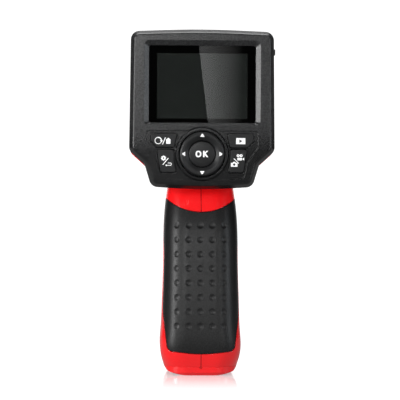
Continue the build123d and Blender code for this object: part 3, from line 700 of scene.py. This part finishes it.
def ring_arrows():
    """Four arrow heads that point outward, right, up, left and down."""
    arrows = []
    for quarter in range(4):
        angle = quarter * math.pi / 2
        along = Vector((math.cos(angle), math.sin(angle)))
        across = Vector((-along.y, along.x))
        base = along * (ARROW_PLACE_MM - 1.0)
        point = along * (ARROW_PLACE_MM + 1.05)
        arrows.append([tuple(base - across * 1.2), tuple(point), tuple(base + across * 1.2)])
    return arrows


def middle_of(node_name):
    """The middle of a node's box as the user sees it, across and up."""
    low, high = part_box(node_name)
    return (low.x + high.x) / 2, (low.z + high.z) / 2


def print_on_key(name, shapes, key, material):
    """Prints a pictogram on one of the four corner keys."""
    x, z = middle_of(key)
    shift = PRINT_SHIFTS_MM[key]
    print_on(name, shapes, key, key, (x + shift[0] * MM, z + shift[1] * MM), material)


def add_legends(material):
    """White pictograms on the keys, ring and centre button."""
    pad = middle_of("nav_ring")
    print_on("arrow_print", ring_arrows(), "nav_ring", "nav_ring", pad, material)
    letters = moved(letter_o(3.2, 3.5, 0.85), -2.05, 0) + moved(letter_k(2.8, 3.5, 0.85), 1.85, 0)
    print_on("centre_print", letters, "ok_button", "ok_button", pad, material)

    rotate = moved(turning_arrow(), -2.6, 0.1) + moved(slash(1.6, 3.8), 0.5, -0.1)
    rotate += moved(house(), 2.85, 0.0)
    print_on_key("rotate_print", rotate, "rotate_key", material)
    settings = moved(gear(), -1.1, 1.7) + moved(slash(3.0, 3.6), 0.0, -0.1)
    settings += moved(return_arrow(), 1.5, -1.55)
    print_on_key("settings_print", settings, "settings_key", material)
    print_on_key("playback_print", play_picture(), "playback_key", material)
    cameras = moved(stills_camera(), -1.55, -1.85) + moved(slash(-2.7, 2.7), -0.4, -0.05)
    cameras += moved(cine_camera(), 1.65, 1.85)
    print_on_key("camera_print", cameras, "camera_key", material)


# ---------------------------------------------------------------- studio
def add_camera():
    """The camera at the photograph's viewing angle."""
    data = bpy.data.cameras.new("photo_view")
    data.lens = VIEW_LENS_MM
    data.sensor_width = 36.0
    camera = bpy.data.objects.new("photo_view", data)
    bpy.context.scene.collection.objects.link(camera)
    camera.location = VIEW_FROM
    turn = (VIEW_AIM - VIEW_FROM).to_track_quat("-Z", "Y")
    camera.rotation_euler = (turn @ Quaternion((0, 0, 1), VIEW_ROLL)).to_euler()
    bpy.context.scene.camera = camera


def area_light(name, size, power, colour=WHITE):
    """A rectangular soft box, not yet in its place."""
    data = bpy.data.lights.new(name, "AREA")
    data.shape = "RECTANGLE"
    data.size = size[0]
    data.size_y = size[1]
    data.energy = power
    data.color = colour
    light = bpy.data.objects.new(name, data)
    bpy.context.scene.collection.objects.link(light)
    return light


def add_soft_boxes():
    """The soft boxes round the object; those in OFF_SCREEN don't light the clear lens."""
    all_but_screen = bpy.data.collections.new("all_but_screen")
    all_but_screen.objects.link(frame["nodes"]["screen_lens"])
    all_but_screen.collection_objects[0].light_linking.link_state = "EXCLUDE"
    for name, (place, size, power, colour) in SOFT_BOXES.items():
        light = area_light(name, size, power, colour)
        light.location = place
        towards = Vector(LIGHT_AIM) - Vector(place)
        light.rotation_euler = towards.to_track_quat("-Z", "Y").to_euler()
        if name in OFF_SCREEN:
            light.light_linking.receiver_collection = all_but_screen


def add_glare_box():
    """A soft box behind the camera whose slanted edge is mirrored in the screen."""
    light = area_light("glare_box", GLARE_SIZE, math.pi * GLARE_SIZE[0] * GLARE_SIZE[1])
    data = light.data
    data.use_nodes = True
    place = node(data, "ShaderNodeNewGeometry").outputs["Position"]
    side = node(data, "ShaderNodeSeparateXYZ", {"Vector": place}).outputs["X"]
    emission = data.node_tree.nodes["Emission"]
    feed(data, emission.inputs["Strength"], spread(data, side, 1.0, 0.0, *GLARE_FADE))
    turn = Matrix.Rotation(GLARE_SLANT, 3, "Y") @ Matrix.Rotation(math.radians(90), 3, "X")
    light.location = GLARE_EDGE + turn @ Vector((GLARE_SIZE[0] / 2, 0, 0))
    light.rotation_euler = turn.to_euler()
    light.visible_diffuse = False


def add_room():
    """A white backdrop behind the object and a dimmer room in front of it."""
    world = bpy.data.worlds.new("studio")
    bpy.context.scene.world = world
    world.use_nodes = True
    world.node_tree.nodes.clear()
    direction = node(world, "ShaderNodeTexCoord").outputs["Generated"]
    forward = node(world, "ShaderNodeSeparateXYZ", {"Vector": direction}).outputs["Y"]
    sockets = {"Value": forward, "From Min": ROOM_EDGE[0], "From Max": ROOM_EDGE[1]}
    sockets["To Min"] = ROOM_DIM
    sockets["To Max"] = ROOM_WHITE
    behind = node(world, "ShaderNodeMapRange", sockets, interpolation_type="SMOOTHSTEP")
    light = behind.outputs["Result"]
    room = node(world, "ShaderNodeBackground", {"Color": (1, 1, 1, 1), "Strength": light})
    paper = node(world, "ShaderNodeBackground", {"Color": (1, 1, 1, 1), "Strength": SEEN_WHITE})
    rays = node(world, "ShaderNodeLightPath")
    choice = node(world, "ShaderNodeMixShader", {
        0: rays.outputs["Is Camera Ray"], 1: room.outputs[0], 2: paper.outputs[0]})
    node(world, "ShaderNodeOutputWorld", {"Surface": choice.outputs[0]})


def add_table():
    """A round white table top, polished around the foot and plain white further out."""
    builder = bmesh.new()
    bmesh.ops.create_circle(builder, cap_ends=True, segments=96, radius=TABLE_RADIUS)
    mesh = bpy.data.meshes.new("table_top")
    builder.to_mesh(mesh)
    builder.free()
    table = bpy.data.objects.new("table_top", mesh)
    bpy.context.scene.collection.objects.link(table)
    material, shader = new_material("white_table")
    where = place_in_object(material)
    away = node(material, "ShaderNodeVectorMath", {0: where}, operation="LENGTH")
    set_shader(material, shader, Base_Color=(0.62, 0.62, 0.62, 1), Roughness=0.05,
               Emission_Color=(1, 1, 1, 1), Emission_Strength=TABLE_GLOW)
    plain = node(material, "ShaderNodeEmission", {"Strength": SEEN_WHITE})
    far = spread(material, away.outputs["Value"], 0.0, 1.0, *TABLE_POLISH)
    seen = node(material, "ShaderNodeMixShader", {
        0: far, 1: shader.outputs[0], 2: plain.outputs[0]})
    glow = node(material, "ShaderNodeEmission", {"Strength": TABLE_GLOW})
    rays = node(material, "ShaderNodeLightPath")
    mixer = node(material, "ShaderNodeMixShader", {
        0: rays.outputs["Is Camera Ray"], 1: glow.outputs[0], 2: seen.outputs[0]})
    output = material.node_tree.nodes["Material Output"]
    feed(material, output.inputs["Surface"], mixer.outputs[0])
    material.cycles.emission_sampling = "NONE"
    mesh.materials.append(material)


# ---------------------------------------------------------------- the scene
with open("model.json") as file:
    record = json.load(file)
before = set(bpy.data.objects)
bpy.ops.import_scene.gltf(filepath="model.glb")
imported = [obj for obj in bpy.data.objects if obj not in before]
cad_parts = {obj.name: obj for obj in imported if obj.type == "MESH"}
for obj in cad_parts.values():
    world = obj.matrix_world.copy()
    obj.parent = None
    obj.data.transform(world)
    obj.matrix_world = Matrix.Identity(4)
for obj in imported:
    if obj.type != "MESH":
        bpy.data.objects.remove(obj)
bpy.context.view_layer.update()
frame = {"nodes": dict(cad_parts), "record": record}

add_camera()
add_soft_boxes()
add_room()
add_table()
add_glare_box()
bpy.context.scene.view_settings.view_transform = "Standard"
bpy.context.scene.view_settings.exposure = EXPOSURE

slot_materials = make_materials()
paint_nodes(slot_materials)
build_grip(slot_materials["black_rubber"])
add_legends(print_material())
